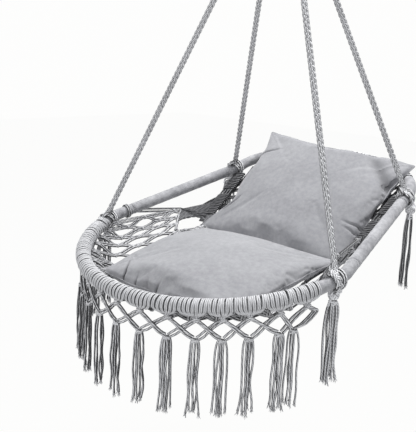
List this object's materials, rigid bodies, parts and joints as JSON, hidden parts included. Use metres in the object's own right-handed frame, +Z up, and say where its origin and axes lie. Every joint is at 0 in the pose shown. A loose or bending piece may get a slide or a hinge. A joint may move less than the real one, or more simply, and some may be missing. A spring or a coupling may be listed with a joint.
{
  "type": "hammock chair",
  "caption": "Hanging hammock chair: a rounded tube frame with knotted cord seat and back nets, lace fringe with tassels, plaited ropes gathered at a ring, and loose cushions.",
  "frame": {"origin": "the point inside the top of the hanging ring that rests on the hook", "axes": "+X towards the right side of the frame seen from the front, +Y towards the back of the chair, +Z up"},
  "size_m": [0.8556, 0.9278, 1.5181],
  "materials": {
    "zinc_steel": "bright zinc plating",
    "tube_steel": "grey powder coat",
    "plaited_rope": "matt plaited cotton rope",
    "cotton_cord": "matt twisted cotton cord",
    "plush_sleeve": "short matt plush",
    "plush_cushion": "short matt plush"
  },
  "bodies": {
    "ring": {"hanging_ring": "zinc_steel"},
    "eye": {"rope_eye": "plaited_rope"},
    "wrap": {"gathering_wrap": "plaited_rope"},
    "chair": {"front_arc_tube": "tube_steel", "back_bow_tube": "tube_steel", "side_tube_left": "tube_steel", "corner_spigot_front_left": "tube_steel", "corner_spigot_back_left": "tube_steel", "side_tube_right": "tube_steel", "corner_spigot_front_right": "tube_steel", "corner_spigot_back_right": "tube_steel", "front_hitch_wrap": "cotton_cord", "back_hitch_wrap": "cotton_cord", "arc_sleeve_left": "plush_sleeve", "arc_sleeve_right": "plush_sleeve", "back_sleeve_right": "plush_sleeve", "back_sleeve_left": "plush_sleeve", "side_sleeve_left": "plush_sleeve", "side_sleeve_right": "plush_sleeve", "rope_hitch_front_left": "plaited_rope", "suspension_rope_front_left": "plaited_rope", "rope_tail_front_left": "cotton_cord", "rope_hitch_front_right": "plaited_rope", "suspension_rope_front_right": "plaited_rope", "rope_tail_front_right": "cotton_cord", "rope_hitch_back_left": "plaited_rope", "suspension_rope_back_left": "plaited_rope", "rope_tail_back_left": "cotton_cord", "rope_hitch_back_right": "plaited_rope", "suspension_rope_back_right": "plaited_rope", "rope_tail_back_right": "cotton_cord", "crown_knot": "plaited_rope", "seat_net": "cotton_cord", "back_net": "cotton_cord", "front_lace": "cotton_cord", "tassel_01": "cotton_cord", "tassel_02": "cotton_cord", "tassel_03": "cotton_cord", "tassel_04": "cotton_cord", "tassel_05": "cotton_cord", "tassel_06": "cotton_cord", "tassel_07": "cotton_cord", "tassel_08": "cotton_cord", "tassel_09": "cotton_cord", "tassel_10": "cotton_cord", "tassel_11": "cotton_cord", "tassel_12": "cotton_cord", "tassel_13": "cotton_cord", "tassel_14": "cotton_cord", "tassel_15": "cotton_cord"},
    "seat_cushion": {"seat_cushion": "plush_cushion"},
    "back_cushion": {"back_cushion": "plush_cushion"}
  },
  "joints": [
    {"name": "fore_aft_swing", "type": "hinge", "parent": "ring", "child": "eye", "pos_m": [0, 0, -0.054], "axis": [1, 0, 0], "range_deg": [-25, 25]},
    {"name": "rope_twist", "type": "hinge", "parent": "eye", "child": "wrap", "pos_m": [0, 0, -0.105], "axis": [0, 0, 1], "range_deg": [-180, 180]},
    {"name": "side_swing", "type": "hinge", "parent": "wrap", "child": "chair", "pos_m": [0, 0, -0.18729], "axis": [0, 1, 0], "range_deg": [-12, 12]},
    {"name": "seat_cushion_lift", "type": "slide", "parent": "chair", "child": "seat_cushion", "axis": [0, -0.342, 0.9397], "range_m": [0, 0.15]},
    {"name": "back_cushion_lift", "type": "slide", "parent": "chair", "child": "back_cushion", "axis": [0, -0.342, 0.9397], "range_m": [0, 0.12]}
  ]
}
